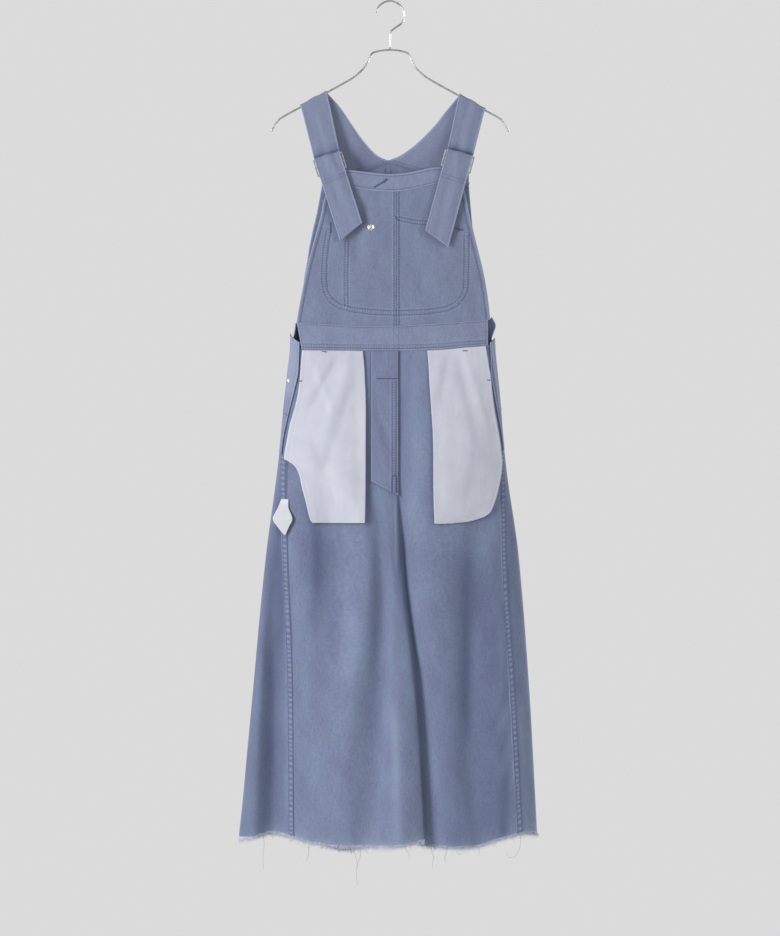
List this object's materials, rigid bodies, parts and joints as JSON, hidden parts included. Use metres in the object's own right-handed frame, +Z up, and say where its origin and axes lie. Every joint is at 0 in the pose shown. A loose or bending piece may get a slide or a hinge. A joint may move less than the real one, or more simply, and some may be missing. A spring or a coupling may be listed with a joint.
{
  "type": "overall maxi skirt on a wire hanger",
  "caption": "Slate-blue cotton twill overall maxi skirt with buckled straps, bib, outside white pocket bags and a raw frayed hem, hanging on a wire hanger.",
  "frame": {"origin": "inner top of the hanger's hook, where it hangs on a rod", "axes": "+Z up, -Y the front of the garment, +X to the right as seen from the front"},
  "size_m": [0.5071, 0.1116, 1.4588],
  "materials": {
    "twill": "garment-dyed cotton twill, slate blue",
    "pocketing": "plain white cotton pocketing",
    "fray": "loose cotton thread ends",
    "label": "white woven satin tape, blank",
    "steel_wire": "polished steel wire",
    "nickel": "polished nickel"
  },
  "bodies": {
    "root": {"hanger_frame": "steel_wire", "hanger_hook": "steel_wire", "strap_left": "twill", "strap_right": "twill", "ring_left": "nickel", "ring_right": "nickel", "strap_tab_left": "twill", "strap_tab_right": "twill", "bib_band": "twill", "bib_left": "twill", "bib_right": "twill", "bib_pocket": "twill", "bib_stud": "nickel", "back_panel": "twill", "waistband_front": "twill", "waistband_back": "twill", "placket_left": "twill", "placket_right": "twill", "side_button": "nickel", "skirt_front_left": "twill", "skirt_front_right": "twill", "skirt_back_left": "twill", "skirt_back_right": "twill", "fly_shield": "twill", "pocket_bag_left": "pocketing", "pocket_bag_right": "pocketing", "care_label": "label", "fray_front_left": "fray", "fray_front_right": "fray", "fray_back_left": "fray", "fray_back_right": "fray"}
  },
  "joints": []
}
